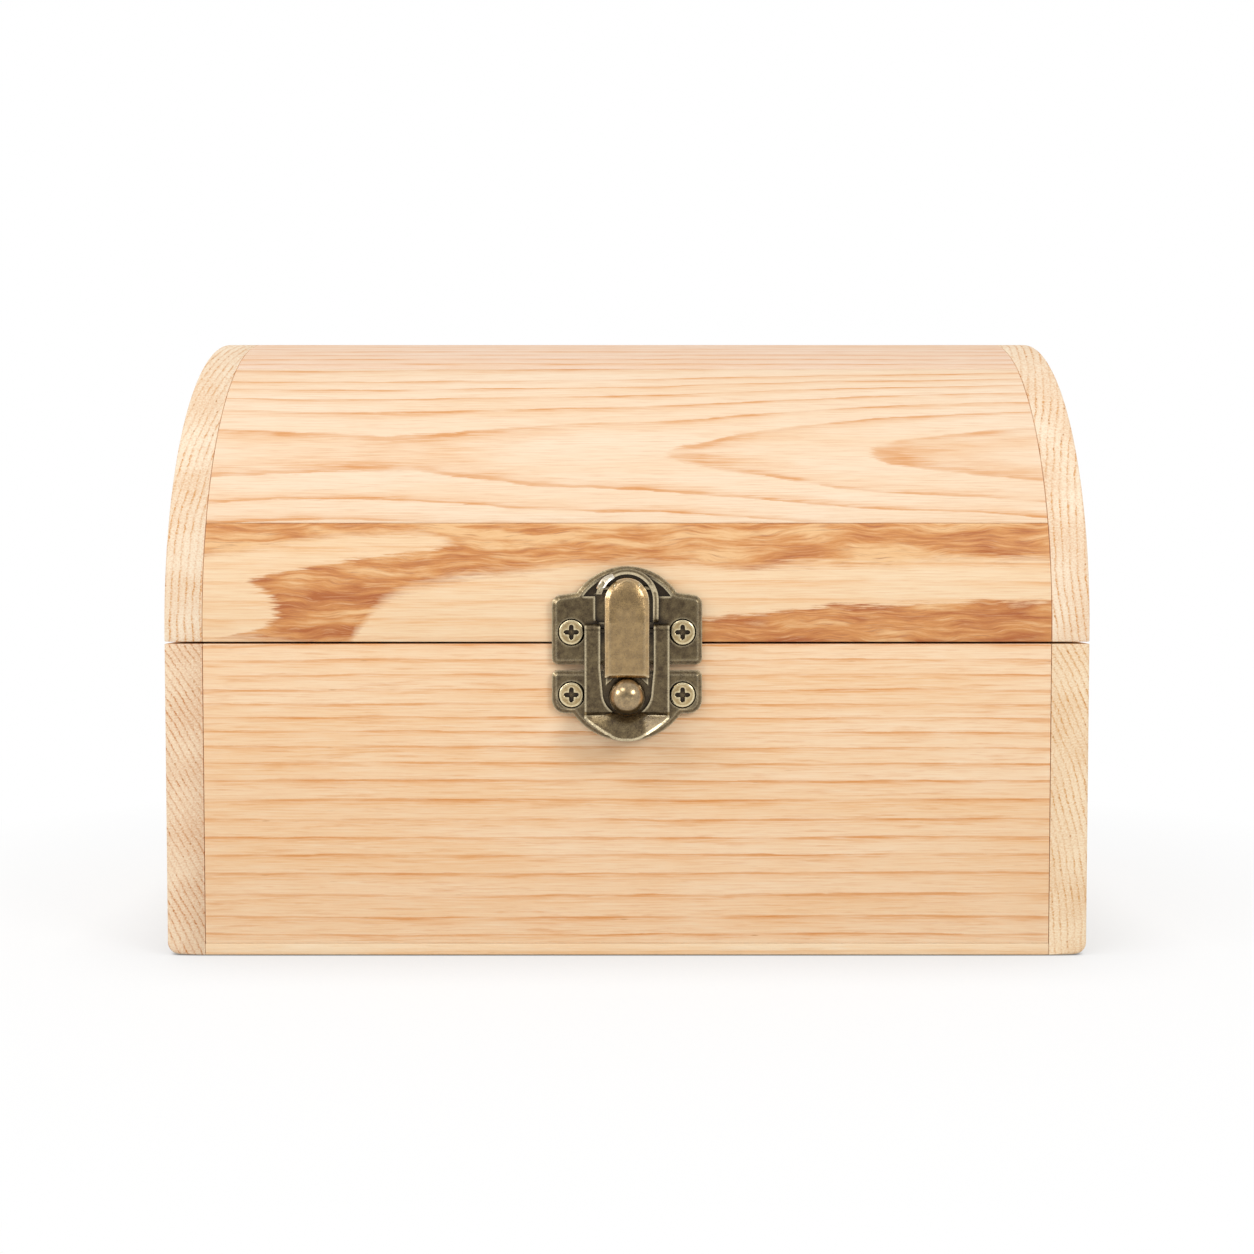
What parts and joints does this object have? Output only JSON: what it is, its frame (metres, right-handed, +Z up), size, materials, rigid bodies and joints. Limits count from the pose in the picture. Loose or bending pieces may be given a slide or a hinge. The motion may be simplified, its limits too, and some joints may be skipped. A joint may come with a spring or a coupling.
{
  "type": "dome-lid wooden chest",
  "caption": "Small unfinished pine chest with a half-round coopered lid on back hinges and a bronze latch whose bail drops over a ball stud.",
  "frame": {"origin": "middle of the underside of the box, on the surface it stands on", "axes": "+X to the right seen from the front, +Y to the back, +Z up; the latch is on the -Y side"},
  "size_m": [0.17, 0.1313, 0.1189],
  "materials": {
    "pine_board": "unfinished, sanded",
    "pine_end": "unfinished, sanded end grain",
    "thin_panel": "unfinished, sanded",
    "bronze_plate": "antique bronze, satin",
    "bronze_worn": "antique bronze, rubbed bright",
    "bronze_screw": "antique bronze, rubbed"
  },
  "bodies": {
    "chest_body": {"front_panel": "pine_board", "back_panel": "pine_board", "bottom_panel": "thin_panel", "left_end": "pine_end", "right_end": "pine_end", "lower_plate": "bronze_plate", "ball_stud": "bronze_worn", "lower_screw_left": "bronze_screw", "lower_screw_right": "bronze_screw", "hinge_left_body_leaf": "bronze_plate", "hinge_left_pin": "bronze_worn", "hinge_left_body_screw_1": "bronze_screw", "hinge_left_body_screw_2": "bronze_screw", "hinge_right_body_leaf": "bronze_plate", "hinge_right_pin": "bronze_worn", "hinge_right_body_screw_1": "bronze_screw", "hinge_right_body_screw_2": "bronze_screw"},
    "lid": {"lid_left_end": "pine_end", "lid_right_end": "pine_end", "lid_stave_1": "pine_board", "lid_stave_2": "pine_board", "lid_stave_3": "pine_board", "lid_stave_4": "pine_board", "lid_stave_5": "pine_board", "upper_plate": "bronze_plate", "bail_pin": "bronze_plate", "lever_pin": "bronze_plate", "upper_screw_left": "bronze_screw", "upper_screw_right": "bronze_screw", "hinge_left_lid_leaf": "bronze_plate", "hinge_left_lid_screw_1": "bronze_screw", "hinge_left_lid_screw_2": "bronze_screw", "hinge_right_lid_leaf": "bronze_plate", "hinge_right_lid_screw_1": "bronze_screw", "hinge_right_lid_screw_2": "bronze_screw"},
    "bail": {"bail": "bronze_plate"},
    "lever": {"lever": "bronze_worn"}
  },
  "joints": [
    {"name": "lid_hinge", "type": "hinge", "parent": "chest_body", "child": "lid", "pos_m": [0, 0.06175, 0.0577], "axis": [-1, 0, 0], "range_deg": [0, 110]},
    {"name": "bail_swing", "type": "hinge", "parent": "lid", "child": "bail", "pos_m": [0, -0.06295, 0.06], "axis": [-1, 0, 0], "range_deg": [0, 90]},
    {"name": "lever_swing", "type": "hinge", "parent": "lid", "child": "lever", "pos_m": [0, -0.0638, 0.0678], "axis": [-1, 0, 0], "range_deg": [0, 30]}
  ]
}
